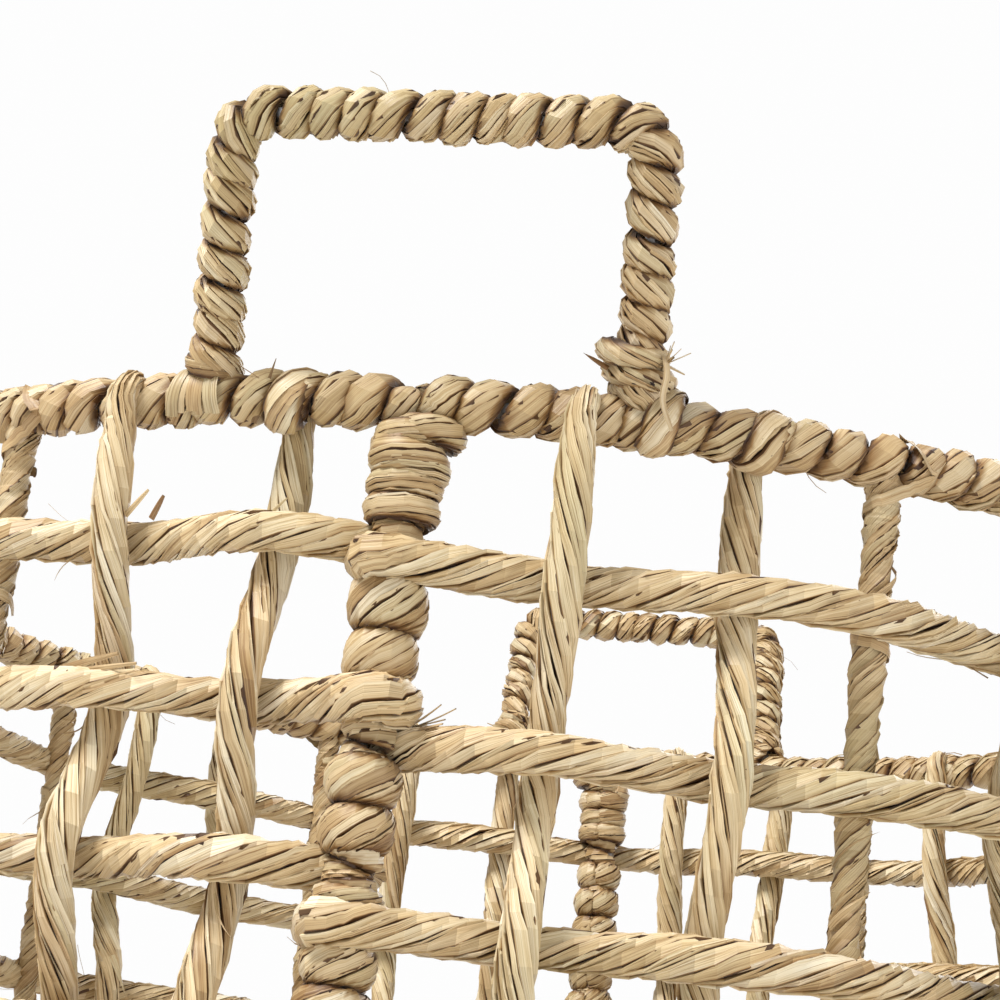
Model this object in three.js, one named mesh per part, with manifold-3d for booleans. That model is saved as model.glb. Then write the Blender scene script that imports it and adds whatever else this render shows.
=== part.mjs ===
// Round open-weave seagrass storage basket, in millimetres, +Z up, standing on z = 0.
//
// Welded wire hoops and uprights make the frame, and every wire is bound in twisted seagrass.
// Eight horizontal ropes (rows) run round the wall between two thick ribs and weave over and
// under the vertical ropes. A vertical rope is one of a pair of wall stakes: it comes down the
// wall, turns under the base hoop, crosses the base and climbs the other side. Base ropes fill
// the grid below the uprights. Two rectangular wire handles stand on the rim, leaning outwards.
import * as THREE from "three";
import { mergeVertices } from "three/addons/utils/BufferGeometryUtils.js";
import Module from "manifold-3d";

// Driving dimensions
const WALL_RADIUS = 240; // from the basket's axis to the middle of the woven wall
const RIM_HEIGHT = 378; // centreline of the rim hoop above the floor
const ROPE_RADIUS = 4.8; // across the corners of a rope's six-sided section
const WEAVE = 5.8; // how far a rope swings to each side of the wall's middle
const BASE_WEAVE = 6.2; // the same, up and down in the base
const GAP = 0.4; // clearance between pieces that touch
const WIRE_RADIUS = 2.3; // frame wire
const RIM_WRAP_RADIUS = 6.5;
const BASE_WRAP_RADIUS = 5;
const UPRIGHT_RADIUS = 4.5;
const RIB_BARREL_RADIUS = 9.5; // where the row ropes are wound round a rib
const RIB_WAIST_RADIUS = 4.1; // where a row rope crosses a rib
const HANDLE_WRAP_RADIUS = 6.4;
const HANDLE_HALF_WIDTH = 53.5; // between the centrelines of the legs
const HANDLE_HEIGHT = 71.5; // rim centreline to top bar centreline, along the handle
const HANDLE_CORNER = 9;
const HANDLE_SPLAY = 1.5; // each leg stands this much nearer the middle at its top
const HANDLE_SLANT = 4; // the bar sits this much to the right of the feet
const HANDLE_LEAN = 26; // degrees outwards from upright
const ROWS = 8;
const FIRST_ROW_DROP = 38; // rim centreline down to the first row
const ROW_SPACING = 41.4;
const MAX_ROW_RISE = 13.5; // a row ends this much higher than it starts, at the most

// Where the twelve uprights stand, in degrees anticlockwise from -Y seen from above, as the
// weaver set them: the first and the seventh are the thick ribs, under the handles.
const UPRIGHT_ANGLES = [-1, 27, 58, 91, 124, 156, 182, 210, 239, 269, 300, 332];
const RIBS = [0, 6];
const STAKE_SHARES = [0.35, 0.72]; // where the two ropes stand in the bay between two uprights
const STATIONS = UPRIGHT_ANGLES.length * 3; // an upright and two ropes to a bay
const CROSS_STATIONS = 4; // stations each side of -Y whose ropes cross the base along Y

// Worked out from them
const ROPE_FLAT = ROPE_RADIUS * Math.cos(Math.PI / 6);
const HOOP_CLEAR = BASE_WRAP_RADIUS + ROPE_RADIUS + GAP; // rope centreline from the base hoop's
const BASE_HOOP_HEIGHT = ROPE_FLAT + HOOP_CLEAR;
const BASE_MIDDLE = ROPE_FLAT + BASE_WEAVE; // middle of the woven base
const RIM_CLEAR = RIM_WRAP_RADIUS + ROPE_RADIUS + GAP;
const HALF_STATIONS = STATIONS / 2;

const wasm = await Module();
wasm.setup();

// Helpers ----------------------------------------------------------------------------------

const radians = THREE.MathUtils.degToRad;

// A point on a cylinder round the basket's axis: angle in degrees from -Y, towards +X.
function onWall(angle, radius, height) {
  const a = radians(angle);
  return new THREE.Vector3(radius * Math.sin(a), -radius * Math.cos(a), height);
}

// The angle of a station, which may be counted past a full turn either way.
function stationAngle(station) {
  const turn = Math.floor(station / STATIONS);
  const inTurn = station - turn * STATIONS;
  const bay = Math.floor(inTurn / 3);
  const start = UPRIGHT_ANGLES[bay];
  const end = bay + 1 < UPRIGHT_ANGLES.length ? UPRIGHT_ANGLES[bay + 1] : UPRIGHT_ANGLES[0] + 360;
  const share = [0, ...STAKE_SHARES][inTurn % 3];
  return start + share * (end - start) + 360 * turn;
}

// A centreline through given points, each with the way that its section faces.
class Centreline extends THREE.Curve {
  constructor(points, facings) {
    super();
    this.points = points;
    this.facings = facings;
  }
  getPoint(t, target = new THREE.Vector3()) {
    const place = t * (this.points.length - 1);
    const i = Math.min(Math.floor(place), this.points.length - 2);
    return target.lerpVectors(this.points[i], this.points[i + 1], place - i);
  }
  getSpacedPoints() {
    return this.points;
  }
  computeFrenetFrames() {
    const tangents = [];
    const normals = [];
    const binormals = [];
    this.points.forEach((p, i) => {
      const before = this.points[Math.max(i - 1, 0)];
      const after = this.points[Math.min(i + 1, this.points.length - 1)];
      const into = p.clone().sub(before).normalize();
      const out = after.clone().sub(p).normalize();
      const tangent = into.add(out).normalize();
      const normal = this.facings[i].clone().projectOnPlane(tangent).normalize();
      tangents.push(tangent);
      normals.push(normal);
      binormals.push(tangent.clone().cross(normal));
    });
    return { tangents, normals, binormals };
  }
}

// A regular outline whose first side faces +x, so that flats face what a rope crosses.
function outline(sides, radius) {
  const corners = [];
  for (let i = 0; i < sides; i++) {
    const a = ((2 * i + 1) * Math.PI) / sides;
    corners.push(new THREE.Vector2(radius * Math.cos(a), radius * Math.sin(a)));
  }
  return corners;
}

// A tube along a centreline, solid or with a bore for a wire.
function tube(points, facings, radius, sides = 6, bore = 0) {
  const shape = new THREE.Shape(outline(sides, radius));
  if (bore > 0) shape.holes.push(new THREE.Path(outline(sides, bore).reverse()));
  return new THREE.ExtrudeGeometry(shape, {
    steps: points.length - 1,
    extrudePath: new Centreline(points, facings),
  });
}

// A closed ring round the Z axis, turned from an outline of (radius, height) points.
function ring(profile, segments) {
  const closed = [...profile, profile[0].clone()];
  return new THREE.LatheGeometry(closed, segments).rotateX(Math.PI / 2);
}

// A C-shaped outline: a binding round a hoop's wire, with its seam facing the basket's axis.
function bindingOutline(radius, bore, centreRadius, height) {
  const points = [];
  const outerSides = 8;
  const innerSides = 6;
  const seam = 0.12; // half the seam's angle at the bore, in radians
  for (let i = 0; i <= outerSides; i++) {
    const a = Math.PI - seam / 3 - ((2 * Math.PI - (2 * seam) / 3) * i) / outerSides;
    points.push([radius * Math.cos(a), radius * Math.sin(a)]);
  }
  for (let i = 0; i <= innerSides; i++) {
    const a = -Math.PI + seam + ((2 * Math.PI - 2 * seam) * i) / innerSides;
    points.push([bore * Math.cos(a), bore * Math.sin(a)]);
  }
  return points.map(([x, y]) => new THREE.Vector2(centreRadius + x, height + y)).reverse();
}

function wireOutline(centreRadius, height) {
  return outline(6, WIRE_RADIUS).map((p) => new THREE.Vector2(centreRadius + p.x, height + p.y));
}

// Booleans, for a piece that another one passes through.
function solidOf(geometry) {
  const bare = new THREE.BufferGeometry();
  const source = geometry.index ? geometry.toNonIndexed() : geometry;
  bare.setAttribute("position", source.getAttribute("position"));
  const merged = mergeVertices(bare, 1e-3);
  return new wasm.Manifold(
    new wasm.Mesh({
      numProp: 3,
      vertProperties: merged.attributes.position.array,
      triVerts: new Uint32Array(merged.index.array),
    }),
  );
}

function geometryOf(solid) {
  const mesh = solid.getMesh();
  const geometry = new THREE.BufferGeometry();
  geometry.setAttribute("position", new THREE.BufferAttribute(mesh.vertProperties, 3));
  geometry.setIndex(new THREE.BufferAttribute(mesh.triVerts, 1));
  geometry.computeVertexNormals();
  return geometry;
}

// Materials --------------------------------------------------------------------------------

const rope = new THREE.MeshStandardMaterial({ color: 0xc9ad7c, roughness: 0.7, metalness: 0 });
const binding = new THREE.MeshStandardMaterial({ color: 0xbf9f6b, roughness: 0.75, metalness: 0 });
const wire = new THREE.MeshStandardMaterial({ color: 0x6f7174, roughness: 0.45, metalness: 1 });

const basket = new THREE.Group();
function add(name, geometry, material) {
  const mesh = new THREE.Mesh(geometry, material);
  mesh.name = name;
  basket.add(mesh);
  return mesh;
}

// The woven wall ---------------------------------------------------------------------------

const isUpright = (station) => (((station % 3) + 3) % 3) === 0;
const isFirstInBay = (station) => (((station % 3) + 3) % 3) === 1;

// How far row number k lies below the rim's centreline, at a share of its way round.
const rowRise = (row) => Math.min(1.5 + 4 * row, MAX_ROW_RISE);
const rowDrop = (row, share) =>
  FIRST_ROW_DROP + ROW_SPACING * (row - 1) + rowRise(row) * (0.5 - share);

// +1 where a wall rope is outside the row that it crosses, -1 where it is inside.
const stakeSide = (station, row) => (isFirstInBay(station) === (row % 2 === 1) ? 1 : -1);

// A row starts at the front rib, goes once round the wall and ends on the rib's other side.
function rowRope(row) {
  const ribClear = RIB_WAIST_RADIUS + ROPE_RADIUS + GAP;
  const tail = 2.6; // degrees that each end runs past the rib
  const outside = row % 2 === 1 ? 1 : -1; // which side of the rib the row's start is on
  const points = [];
  const facings = [];
  const place = (angle, offset, share) => {
    points.push(onWall(angle, WALL_RADIUS + offset, RIM_HEIGHT - rowDrop(row, share)));
    facings.push(onWall(angle, 1, 0));
  };
  const first = stationAngle(0);
  place(first - tail, outside * ribClear, 0);
  place(first + tail / 2, outside * ribClear, 0);
  for (let s = 1; s < STATIONS; s++) {
    const angle = stationAngle(s);
    const rib = isUpright(s) && RIBS.includes(s / 3);
    const plain = isUpright(s) ? WEAVE : -WEAVE * stakeSide(s, row);
    place(angle, rib ? outside * ribClear : plain, (angle - first) / 360);
  }
  place(first + 360 - tail / 2, -outside * ribClear, 1);
  place(first + 360 + tail, -outside * ribClear, 1);
  return tube(points, facings, ROPE_RADIUS);
}

// The part of a rope from its tip at the rim down the wall and under the base hoop.
function stakePoints(station) {
  const angle = stationAngle(station);
  const share = (angle - stationAngle(0)) / 360;
  const inTurn = share - Math.floor(share);
  const out = onWall(angle, 1, 0);
  const points = [];
  const place = (offset, height, facing) =>
    points.push({ at: onWall(angle, WALL_RADIUS + offset, height), facing });
  const rimSide = stakeSide(station, 1);
  place(rimSide * RIM_CLEAR, RIM_HEIGHT, out);
  place(rimSide * RIM_CLEAR, RIM_HEIGHT - 8, out);
  for (let row = 1; row <= ROWS; row++)
    place(WEAVE * stakeSide(station, row), RIM_HEIGHT - rowDrop(row, inTurn), out);
  points.push(...underHoop(angle, [-30, 15, 60, 90]));
  return points;
}

// Points round the outside and underside of the base hoop, by their angle below the horizontal.
function underHoop(angle, turns) {
  const down = new THREE.Vector3(0, 0, -1);
  return turns.map((turn) => {
    const out = Math.cos(radians(turn));
    const drop = Math.sin(radians(turn));
    return {
      at: onWall(angle, WALL_RADIUS + HOOP_CLEAR * out, BASE_HOOP_HEIGHT - HOOP_CLEAR * drop),
      facing: onWall(angle, out, 0).addScaledVector(down, drop),
    };
  });
}

// The base grid ----------------------------------------------------------------------------

// Each line of the grid joins two stations: nine lines along Y and nine along X.
function gridLines() {
  const alongY = [];
  for (let s = -CROSS_STATIONS; s <= CROSS_STATIONS; s++)
    alongY.push({ from: s, to: HALF_STATIONS - s });
  const alongX = [];
  for (let s = CROSS_STATIONS + 1; s < HALF_STATIONS - CROSS_STATIONS; s++)
    alongX.push({ from: -s, to: s });
  return { alongY, alongX };
}

const footOf = (station) => onWall(stationAngle(station), WALL_RADIUS, 0);

// Where two lines of the grid cross, seen from above.
function crossing(line, other) {
  const a = footOf(line.from);
  const b = footOf(line.to).sub(a);
  const c = footOf(other.from);
  const d = footOf(other.to).sub(c);
  const t = ((c.x - a.x) * d.y - (c.y - a.y) * d.x) / (b.x * d.y - b.y * d.x);
  return a.addScaledVector(b, t);
}

// A rope's points across the base, from just inside the hoop to just inside it again.
function basePoints(line, others, parity) {
  const down = new THREE.Vector3(0, 0, -1);
  const start = footOf(line.from);
  const way = footOf(line.to).sub(start).normalize();
  const points = others.map((other, i) => {
    const at = crossing(line, other);
    at.z = BASE_MIDDLE + ((i + parity) % 2 ? 0.98 : -0.98) * BASE_WEAVE;
    return { at, facing: down };
  });
  const level = (foot, distance) => {
    const at = foot.clone().addScaledVector(way, distance);
    at.z = ROPE_FLAT;
    return { at, facing: down };
  };
  // The level run under the hoop, on which the basket stands: longer where it is oblique.
  const inside = 10 / Math.abs(start.clone().normalize().dot(way));
  const shares = [0.25, 0.75, 1];
  return [
    ...shares.map((share) => level(start, share * inside)),
    ...points,
    ...shares.toReversed().map((share) => level(footOf(line.to), -share * inside)),
  ];
}

// A wall-to-wall rope, or a base rope that only hooks round the hoop below an upright.
function gridRope(line, others, parity) {
  const hook = (station) => underHoop(stationAngle(station), [0, 45, 90]);
  const end = (station) => (isUpright(station) ? hook(station) : stakePoints(station));
  const path = [
    ...end(line.from),
    ...basePoints(line, others, parity),
    ...end(line.to).reverse(),
  ];
  return tube(path.map((p) => p.at), path.map((p) => p.facing), ROPE_RADIUS);
}

// The wire frame and its bindings ----------------------------------------------------------

// Barrels of wound rope between the rows, on a wire, with a waist where each row crosses.
function ribBinding(ribShare) {
  const bore = WIRE_RADIUS + GAP;
  const bottom = BASE_HOOP_HEIGHT + BASE_WRAP_RADIUS + GAP;
  const top = RIM_HEIGHT - RIM_WRAP_RADIUS - GAP;
  const profile = [new THREE.Vector2(bore, bottom)];
  let from = bottom;
  for (let row = ROWS; row >= 0; row--) {
    const spread = ribShare === 0 ? rowRise(row) / 2 : 0; // both ends cross the front rib
    const middle = RIM_HEIGHT - rowDrop(row, 0.5);
    const waist = ROPE_RADIUS + GAP + spread;
    const to = row > 0 ? middle - waist : top;
    const round = Math.min(3, (to - from) / 4);
    profile.push(
      new THREE.Vector2(RIB_WAIST_RADIUS, from),
      new THREE.Vector2(RIB_BARREL_RADIUS, from + round),
      new THREE.Vector2(RIB_BARREL_RADIUS, to - round),
      new THREE.Vector2(RIB_WAIST_RADIUS, to),
    );
    from = middle + waist;
  }
  profile.push(new THREE.Vector2(bore, top));
  return ring(profile, 8);
}

function upright(number) {
  const angle = UPRIGHT_ANGLES[number];
  const isRib = RIBS.includes(number);
  const bottom = BASE_HOOP_HEIGHT + BASE_WRAP_RADIUS + GAP;
  const top = RIM_HEIGHT - RIM_WRAP_RADIUS - GAP;
  if (isRib) {
    const place = onWall(angle, WALL_RADIUS, 0);
    const name = number === RIBS[0] ? "front" : "back";
    add(`rib_winding_${name}`, ribBinding(number === RIBS[0] ? 0 : 0.5), binding).position.copy(place);
    const core = new THREE.CylinderGeometry(WIRE_RADIUS, WIRE_RADIUS, top - bottom, 8);
    const mesh = add(`rib_wire_${name}`, core.rotateX(Math.PI / 2), wire);
    mesh.position.copy(place).setZ((top + bottom) / 2);
    return;
  }
  const inset = WALL_RADIUS + WEAVE - ROPE_FLAT - 2 * GAP - UPRIGHT_RADIUS;
  const bar = new THREE.CylinderGeometry(UPRIGHT_RADIUS, UPRIGHT_RADIUS, top - bottom, 8);
  const mesh = add(`upright_${String(number).padStart(2, "0")}`, bar.rotateX(Math.PI / 2), binding);
  mesh.position.copy(onWall(angle, inset, (top + bottom) / 2));
}

// Points of a handle's centreline, up one leg, along the bar and down the other.
function handlePoints(bottom) {
  const points = [];
  const arcSteps = 4;
  for (const side of [-1, 1]) {
    const leg = [[HANDLE_HALF_WIDTH, bottom]];
    for (let i = 0; i <= arcSteps; i++) {
      const a = (i / arcSteps) * (Math.PI / 2);
      leg.push([
        HANDLE_HALF_WIDTH - HANDLE_CORNER * (1 - Math.cos(a)),
        HANDLE_HEIGHT - HANDLE_CORNER * (1 - Math.sin(a)),
      ]);
    }
    if (side > 0) leg.reverse();
    for (const [x, z] of leg) {
      const up = z / HANDLE_HEIGHT;
      points.push(new THREE.Vector3(side * (x - HANDLE_SPLAY * up) + HANDLE_SLANT * up, 0, z));
    }
  }
  return points;
}

// The legs stand where the handle's half width meets the rim's circle.
const HANDLE_SEAT = Math.sqrt(WALL_RADIUS ** 2 - HANDLE_HALF_WIDTH ** 2);

// A frame for a handle's pieces: its feet at z = 0 on the rim's centreline, leaning outwards.
function handleFrame(turn) {
  const leaning = new THREE.Group();
  leaning.position.set(0, -HANDLE_SEAT, RIM_HEIGHT);
  leaning.rotation.x = radians(HANDLE_LEAN);
  const turned = new THREE.Group();
  turned.rotation.z = turn;
  turned.add(leaning);
  return { turned, leaning };
}

function handle(name, turn) {
  const { turned, leaning } = handleFrame(turn);
  basket.add(turned);
  const facings = (points) => points.map(() => new THREE.Vector3(0, -1, 0));
  const place = (label, geometry, material) => {
    const mesh = new THREE.Mesh(geometry, material);
    mesh.name = label;
    leaning.add(mesh);
  };
  const wirePoints = handlePoints(WIRE_RADIUS + GAP);
  place(`handle_wire_${name}`, tube(wirePoints, facings(wirePoints), WIRE_RADIUS), wire);
  const wrapPoints = handlePoints(RIM_WRAP_RADIUS + 2 * GAP);
  const bore = WIRE_RADIUS + GAP;
  place(
    `handle_wrap_${name}`,
    tube(wrapPoints, facings(wrapPoints), HANDLE_WRAP_RADIUS, 8, bore),
    binding,
  );
  place(`foot_knot_right_${name}`, knot(HANDLE_HALF_WIDTH, 16, 4.4), binding);
  place(`foot_knot_left_${name}`, knot(-HANDLE_HALF_WIDTH, 9, 2.6), binding);
}

// A lashing round a handle's leg, standing on the rim.
function knot(x, height, thickness) {
  const slope = ((HANDLE_SLANT + HANDLE_SPLAY) / HANDLE_HEIGHT) * (RIM_WRAP_RADIUS + height);
  const inner = HANDLE_WRAP_RADIUS + GAP + slope; // clear of the leg, which isn't quite upright
  const outer = inner + thickness;
  const bottom = RIM_WRAP_RADIUS + 2 * GAP;
  const bevel = thickness / 3;
  const profile = [
    [inner, bottom],
    [outer - bevel, bottom],
    [outer, bottom + height / 4],
    [outer, bottom + height * 0.75],
    [outer - bevel, bottom + height],
    [inner, bottom + height],
    [inner, bottom],
  ].map(([radius, z]) => new THREE.Vector2(radius, z));
  const geometry = new THREE.LatheGeometry(profile, 10);
  return geometry.rotateX(Math.PI / 2).translate(x, 0, 0);
}

// The hoops, and their bindings. The handles' wires pass through holes in the rim's.
function hoops() {
  const segments = STATIONS;
  const bore = WIRE_RADIUS + GAP;
  add("rim_hoop", ring(wireOutline(WALL_RADIUS, RIM_HEIGHT), segments), wire);
  add("base_hoop", ring(wireOutline(WALL_RADIUS, BASE_HOOP_HEIGHT), segments), wire);
  const baseOutline = bindingOutline(BASE_WRAP_RADIUS, bore, WALL_RADIUS, BASE_HOOP_HEIGHT);
  add("base_binding", ring(baseOutline, segments), binding);
  const rimOutline = bindingOutline(RIM_WRAP_RADIUS, bore, WALL_RADIUS, RIM_HEIGHT);
  let rim = solidOf(ring(rimOutline, segments));
  const holeRadius = bore + 2 * GAP;
  for (const turn of [0, Math.PI])
    for (const x of [-HANDLE_HALF_WIDTH, HANDLE_HALF_WIDTH]) {
      const { turned, leaning } = handleFrame(turn);
      turned.updateMatrixWorld(true);
      const hole = new THREE.CylinderGeometry(holeRadius, holeRadius, RIM_WRAP_RADIUS * 2, 6);
      hole.rotateX(Math.PI / 2).translate(x, 0, RIM_WRAP_RADIUS);
      rim = rim.subtract(solidOf(hole.applyMatrix4(leaning.matrixWorld)));
    }
  add("rim_binding", geometryOf(rim), binding);
}

// Assembly ---------------------------------------------------------------------------------

hoops();
UPRIGHT_ANGLES.forEach((_, number) => upright(number));
for (let row = 1; row <= ROWS; row++) add(`row_${row}`, rowRope(row), rope);

const { alongY, alongX } = gridLines();
const named = (line, axis, i) =>
  `${isUpright(line.from) ? "base_rope" : "wall_rope"}_${axis}${i + 1}`;
alongY.forEach((line, i) => add(named(line, "y", i), gridRope(line, alongX, i), rope));
alongX.forEach((line, i) => add(named(line, "x", i), gridRope(line, alongY, i + 1), rope));

handle("front", 0);
handle("back", Math.PI);

export default basket;
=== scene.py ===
import math
import bpy
import numpy as np
from mathutils import Euler, Matrix, Vector


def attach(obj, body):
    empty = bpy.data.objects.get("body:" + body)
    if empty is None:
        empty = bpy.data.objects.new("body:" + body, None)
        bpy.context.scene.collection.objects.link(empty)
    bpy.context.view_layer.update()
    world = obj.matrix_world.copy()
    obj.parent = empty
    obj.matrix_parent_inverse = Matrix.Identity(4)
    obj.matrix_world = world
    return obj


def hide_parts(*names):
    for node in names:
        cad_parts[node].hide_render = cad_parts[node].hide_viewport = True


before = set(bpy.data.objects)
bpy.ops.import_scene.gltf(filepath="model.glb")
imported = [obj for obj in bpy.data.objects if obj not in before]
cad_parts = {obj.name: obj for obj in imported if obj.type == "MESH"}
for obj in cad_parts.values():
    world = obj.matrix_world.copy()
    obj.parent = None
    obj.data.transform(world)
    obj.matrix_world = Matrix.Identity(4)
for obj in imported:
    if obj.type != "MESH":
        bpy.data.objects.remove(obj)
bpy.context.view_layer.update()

MM = 0.001
TAU = 2 * math.pi

# Driving dimensions, as in the CAD model ---------------------------------------------------

WALL_RADIUS = 240 * MM
RIM_HEIGHT = 378 * MM
WEAVE = 5.8 * MM  # a rope's swing to each side of the wall's middle
BASE_WEAVE = 6.2 * MM
ROPE_RADIUS = 4.8 * MM
ROPE_REST = ROPE_RADIUS * math.cos(math.pi / 6)  # a rope's centreline above the floor
GAP = 0.4 * MM
RIM_WRAP_RADIUS = 6.5 * MM
BASE_WRAP_RADIUS = 5 * MM
RIB_RADIUS = 9.5 * MM
RIB_CLEAR = 9.3 * MM  # a row's swing where it passes the back rib
HOOK_CLEAR = 7.6 * MM  # and where it ends at the front rib
HOOP_CLEAR = BASE_WRAP_RADIUS + ROPE_RADIUS + GAP
BASE_HOOP_HEIGHT = ROPE_REST + HOOP_CLEAR
BASE_MIDDLE = ROPE_REST + BASE_WEAVE
HANDLE_HALF_WIDTH = 53.5 * MM
HANDLE_HEIGHT = 71.5 * MM
HANDLE_CORNER = 9 * MM
HANDLE_SPLAY = 1.5 * MM
HANDLE_SLANT = 4 * MM
HANDLE_LEAN = 26  # degrees outwards
HANDLE_SEAT = math.sqrt(WALL_RADIUS**2 - HANDLE_HALF_WIDTH**2)
FOOT_ANGLE = math.degrees(math.asin(HANDLE_HALF_WIDTH / WALL_RADIUS))  # round the rim
ROWS = 8
FIRST_ROW_DROP = 38 * MM
ROW_SPACING = 41.4 * MM
MAX_ROW_RISE = 13.5 * MM
UPRIGHT_ANGLES = [-1, 27, 58, 91, 124, 156, 182, 210, 239, 269, 300, 332]
RIBS = [0, 6]
WALL_LEAN = 1.6  # degrees round the basket from the floor to the rim
STAKE_SHARES = [0.35, 0.72]
STATIONS = len(UPRIGHT_ANGLES) * 3
CROSS_STATIONS = 4

# The camera, at the photograph's viewing angle
CAMERA_PLACE = (0.139, -0.8367, 0.1886)
CAMERA_TURN = 11.0  # degrees from +Y towards -X
CAMERA_PITCH = 15.3
CAMERA_ROLL = 6.4
CAMERA_LENS = 94.8

# The studio: the white that the camera sees, the light from all round, and the floor, which
# fades into the white over a metre
STUDIO_WHITE = 0.985
STUDIO_LIGHT = 0.57
FLOOR_SIZE = 40
FADE_START = 0.7

# The lights: a place, a size and a power (W), all aimed at one point
SOFTBOXES = {
    "key": ((-0.8, -1.0, 1.9), 0.7, 58),
    "fill": ((1.6, -0.9, 0.7), 1.2, 9),
    "back": ((0.3, 1.6, 1.2), 1.2, 14),
}
LIT_POINT = (0, 0, 0.3)

# Twisted ropes
ROW_RADIUS = 5.4 * MM
ROW_LAY = math.tan(math.radians(27)) / ROPE_RADIUS  # radians of twist per metre
STAKE_LAY = math.tan(math.radians(21)) / ROPE_RADIUS
STAKE_TUCK = 26 * MM  # a wall rope is pressed thin this far from its end
ROPE_STRIPS = 14
UPRIGHT_RADIUS = 4.3 * MM
UPRIGHT_LAY = -math.tan(math.radians(45)) / UPRIGHT_RADIUS
UPRIGHT_STRIPS = 8

# Ropes wound round bars: the outside radius of their turns, and the distance between turns
RIM_RADIUS = RIM_WRAP_RADIUS + 0.7 * MM
RIM_PITCH = 9.8 * MM
BASE_PITCH = 8.4 * MM
HANDLE_RADIUS = 6.8 * MM
HANDLE_PITCH = 8.2 * MM
RIB_CORE_RADIUS = 7.2 * MM
RIB_CORE_PITCH = 7 * MM
RIB_LOBE = 11.8 * MM  # the usual height of a rib's lobe
RIB_TOP_LOBE = 6.2 * MM  # and next to the rim
BOUND_LAY = -205  # radians of twist per metre
LASHING_LAY = -150
RIB_CORE_LAY = 140
PRESSED = 0.95  # strips with less relief than this are on a rope whose turns press together, and get a painted shadow along their sides

# How finely the strips are made
PATH_STEP = 2 * MM
COIL_STEP = 1.2 * MM  # along a coil or a lashing
END_TAPER = 4.5 * MM  # a rope is rounded off over this length
ROPE_FACET = 5.4 * MM  # the usual distance between a strip's creases
COIL_FACET = 2.8 * MM
LASHING_FACET = 5 * MM  # before the creases near an end crowd together
UPRIGHT_FACET = 2.4 * MM
CREASE_ANGLE = 23  # degrees: a sharper fold shows as a crease

# Long stray strips on the front rows: the row, the wall rope's station, from and to (aside and
# up from their crossing, mm), the width (mm) and the tone.
STRAYS = [
    (1, 34, (4, 4), (10.5, 10), 1.6, 0.5),
    (1, 34, (11.5, 3), (15, 8.5), 1.8, 0.05),
    (1, 35, (0, 3), (5.5, 8), 0.9, 0.4),
    (2, 34, (-7, 5), (9.5, 8.4), 1.9, 0.4),
    (2, 34, (-5, 4), (15, 6), 1.5, 0.5),
]

# One strip's section: places across it as shares of its half width, their height off the
# rope's surface, and the painted shade in its colour there. The colour is darkest where the
# strip is tucked, with a faint painted highlight on its lifted edge. One side is tucked below
# its neighbour, and the other lies on the next strip.
SECTION_ACROSS = np.array([-1.5, -0.97, -0.79, 0.0, 0.97, 0.99])
SECTION_HEIGHT = np.array([-1.0, -0.26, -0.19, 0.0, 0.21, -1.0]) * MM
SECTION_PAINTED_SHADING = np.array([1.0, 0.95, 0.3, 0.18, 0.04, 0.9])


# Centrelines -------------------------------------------------------------------------------

def unit(v):
    """The same directions at length 1."""
    return v / np.maximum(np.linalg.norm(v, axis=-1, keepdims=True), 1e-12)


def on_wall(angle, radius, height):
    """A point round the basket's axis: degrees from -Y towards +X, anticlockwise from above."""
    a = np.radians(angle)
    return np.stack(np.broadcast_arrays(radius * np.sin(a), -radius * np.cos(a), height), -1)


def smooth_curve(controls, step):
    """Evenly spaced points on a Catmull-Rom curve through the control points."""
    c = np.asarray(controls, float)
    before = 2 * c[0] - c[1]
    after = 2 * c[-1] - c[-2]
    c = np.vstack([before, c, after])
    t = np.linspace(0, 1, 17)[:-1, None]
    pieces = []
    for p0, p1, p2, p3 in zip(c, c[1:], c[2:], c[3:]):
        pieces.append(
            p1
            + t * 0.5 * (p2 - p0)
            + t**2 * (p0 - 2.5 * p1 + 2 * p2 - 0.5 * p3)
            + t**3 * 0.5 * (3 * p1 - p0 - 3 * p2 + p3)
        )
    dense = np.vstack(pieces + [c[-2]])
    return resample(dense, step)


def resample(points, step):
    """Points spaced evenly along a line of straight pieces."""
    lengths = np.linalg.norm(np.diff(points, axis=0), axis=1)
    s = np.concatenate([[0], np.cumsum(lengths)])
    even = np.linspace(0, s[-1], max(3, round(s[-1] / step) + 1))
    return np.stack([np.interp(even, s, points[:, k]) for k in range(3)], -1)


class Path:
    """Points with arc lengths and a frame at each: tangent, normal and binormal."""

    def __init__(self, points, normals=None):
        self.points = points
        gaps = np.linalg.norm(np.diff(points, axis=0), axis=1)
        self.s = np.concatenate([[0], np.cumsum(gaps)])
        self.length = self.s[-1]
        self.tangents = unit(np.gradient(points, axis=0))
        if normals is None:
            normals = self.carried_normals()
        along = np.sum(normals * self.tangents, -1, keepdims=True)
        self.normals = unit(normals - along * self.tangents)
        self.binormals = np.cross(self.tangents, self.normals)

    def carried_normals(self):
        """A first normal carried along the path without twisting about it."""
        first = np.array([0.0, 0.0, 1.0])
        if abs(self.tangents[0][2]) > 0.9:
            first = np.array([0.0, 1.0, 0.0])
        normals = [first]
        for tangent in self.tangents:
            n = normals[-1] - np.dot(normals[-1], tangent) * tangent
            normals.append(n / np.linalg.norm(n))
        return np.array(normals[1:])

    def at(self, s):
        """Points, normals and binormals at these arc lengths."""
        def pick(values):
            return np.stack([np.interp(s, self.s, values[:, k]) for k in range(3)], -1)
        return pick(self.points), unit(pick(self.normals)), unit(pick(self.binormals))


def wander(rng, s, scale, size=1.0):
    """A smooth random function of arc length, about -1 to 1 times its size."""
    total = np.zeros_like(s)
    for share, weight in ((1.0, 0.6), (0.43, 0.3), (0.19, 0.2)):
        total += weight * np.sin(TAU * (s / (scale * share) + rng.random()))
    return size * total


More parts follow.
